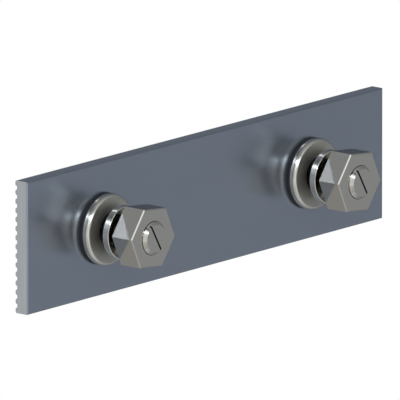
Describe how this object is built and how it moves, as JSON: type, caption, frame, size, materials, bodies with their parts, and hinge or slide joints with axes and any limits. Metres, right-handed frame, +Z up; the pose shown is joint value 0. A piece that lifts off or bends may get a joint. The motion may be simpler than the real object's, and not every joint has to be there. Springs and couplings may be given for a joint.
{
  "type": "solar rail splice",
  "caption": "Flat aluminium bar with a ribbed back that joins two solar mounting rails end to end, clamped by slotted T-bolts with washers, lock rings and hexagon nuts.",
  "frame": {"origin": "centre of the ribbed back, in the plane of the rib crests", "axes": "+X along the bar, +Z up across its width, +Y out of the ribbed back towards the rails, nuts towards -Y"},
  "size_m": [0.16, 0.0344, 0.039],
  "materials": {
    "anodised_bar": "anodised, semi-gloss",
    "black_ring": "matt black",
    "washer_steel": "polished",
    "lock_ring_steel": "polished",
    "nut_steel": "polished",
    "bolt_steel": "polished"
  },
  "bodies": {
    "splice_bar": {"splice_plate": "anodised_bar"},
    "left_washers": {"left_retaining_ring": "black_ring", "left_flat_washer": "washer_steel", "left_lock_ring": "lock_ring_steel"},
    "left_bolt": {"left_t_bolt": "bolt_steel"},
    "left_nut": {"left_hex_nut": "nut_steel"},
    "right_washers": {"right_retaining_ring": "black_ring", "right_flat_washer": "washer_steel", "right_lock_ring": "lock_ring_steel"},
    "right_bolt": {"right_t_bolt": "bolt_steel"},
    "right_nut": {"right_hex_nut": "nut_steel"}
  },
  "joints": [
    {"name": "left_head_turn", "type": "hinge", "parent": "splice_bar", "child": "left_washers", "pos_m": [-0.0465, -0.0056, 0], "axis": [0, -1, 0], "range_deg": [-30, 60]},
    {"name": "left_bolt_draw", "type": "slide", "parent": "left_washers", "child": "left_bolt", "axis": [0, -1, 0], "range_m": [-0.0012, 0.005]},
    {"name": "left_nut_turn", "type": "hinge", "parent": "left_washers", "child": "left_nut", "pos_m": [-0.0465, -0.0196, 0], "axis": [0, 1, 0], "range_deg": [-288, 1200]},
    {"name": "right_head_turn", "type": "hinge", "parent": "splice_bar", "child": "right_washers", "pos_m": [0.0465, -0.0056, 0], "axis": [0, -1, 0], "range_deg": [-30, 60]},
    {"name": "right_bolt_draw", "type": "slide", "parent": "right_washers", "child": "right_bolt", "axis": [0, -1, 0], "range_m": [-0.0012, 0.005]},
    {"name": "right_nut_turn", "type": "hinge", "parent": "right_washers", "child": "right_nut", "pos_m": [0.0465, -0.0196, 0], "axis": [0, 1, 0], "range_deg": [-288, 1200]}
  ],
  "couplings": [
    {"joint": "left_nut_turn", "follows": "left_bolt_draw", "rad_per_m": 4188.8},
    {"joint": "right_nut_turn", "follows": "right_bolt_draw", "rad_per_m": 4188.8}
  ]
}
